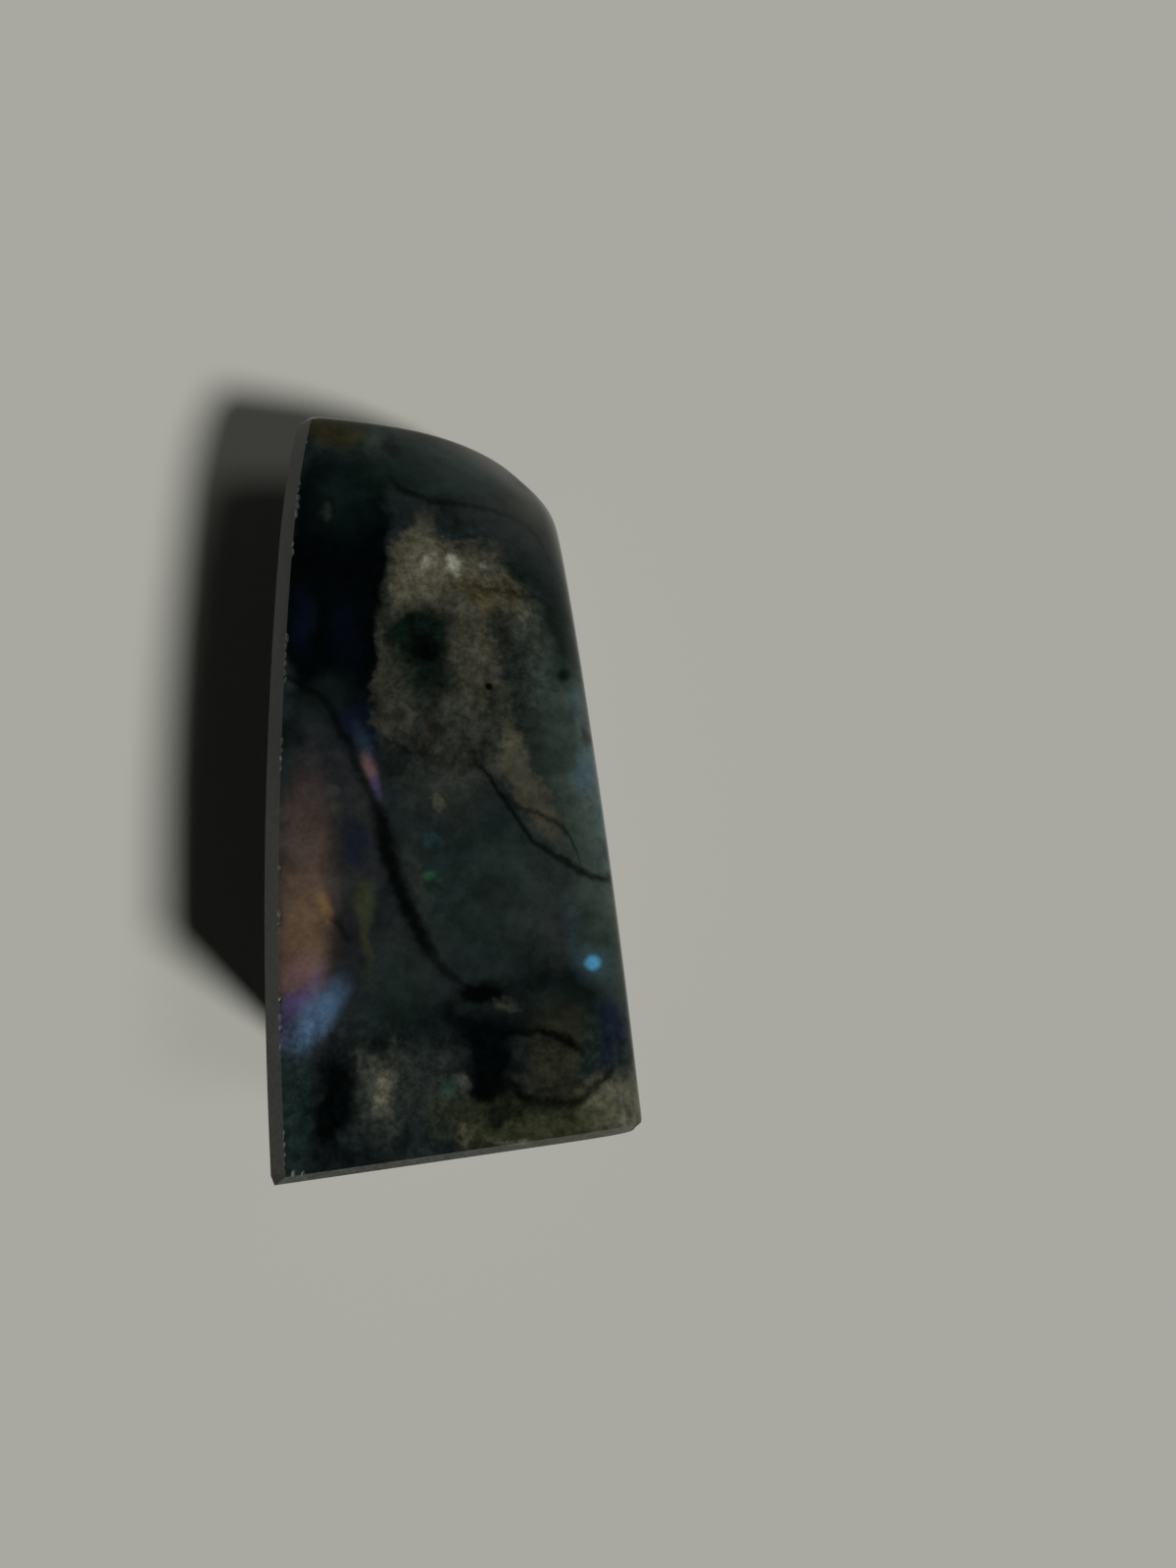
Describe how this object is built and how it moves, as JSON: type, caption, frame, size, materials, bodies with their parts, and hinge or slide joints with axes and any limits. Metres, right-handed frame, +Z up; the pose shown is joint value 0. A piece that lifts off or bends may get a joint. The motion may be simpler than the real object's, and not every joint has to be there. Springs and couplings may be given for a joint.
{
  "type": "polished labradorite chunk",
  "caption": "Palm-sized block of dark labradorite with polished faces, a flat back to rest on and one corner that falls away.",
  "frame": {"origin": "middle of the flat back that the stone rests on", "axes": "+Z up through the stone's thickness to its polished face, +Y along its length from the cut base to the top end, +X from the straight left side to the rounded right side"},
  "size_m": [0.0296, 0.062, 0.032],
  "materials": {
    "labradorite": null
  },
  "bodies": {
    "root": {"labradorite_stone": "labradorite"}
  },
  "joints": []
}
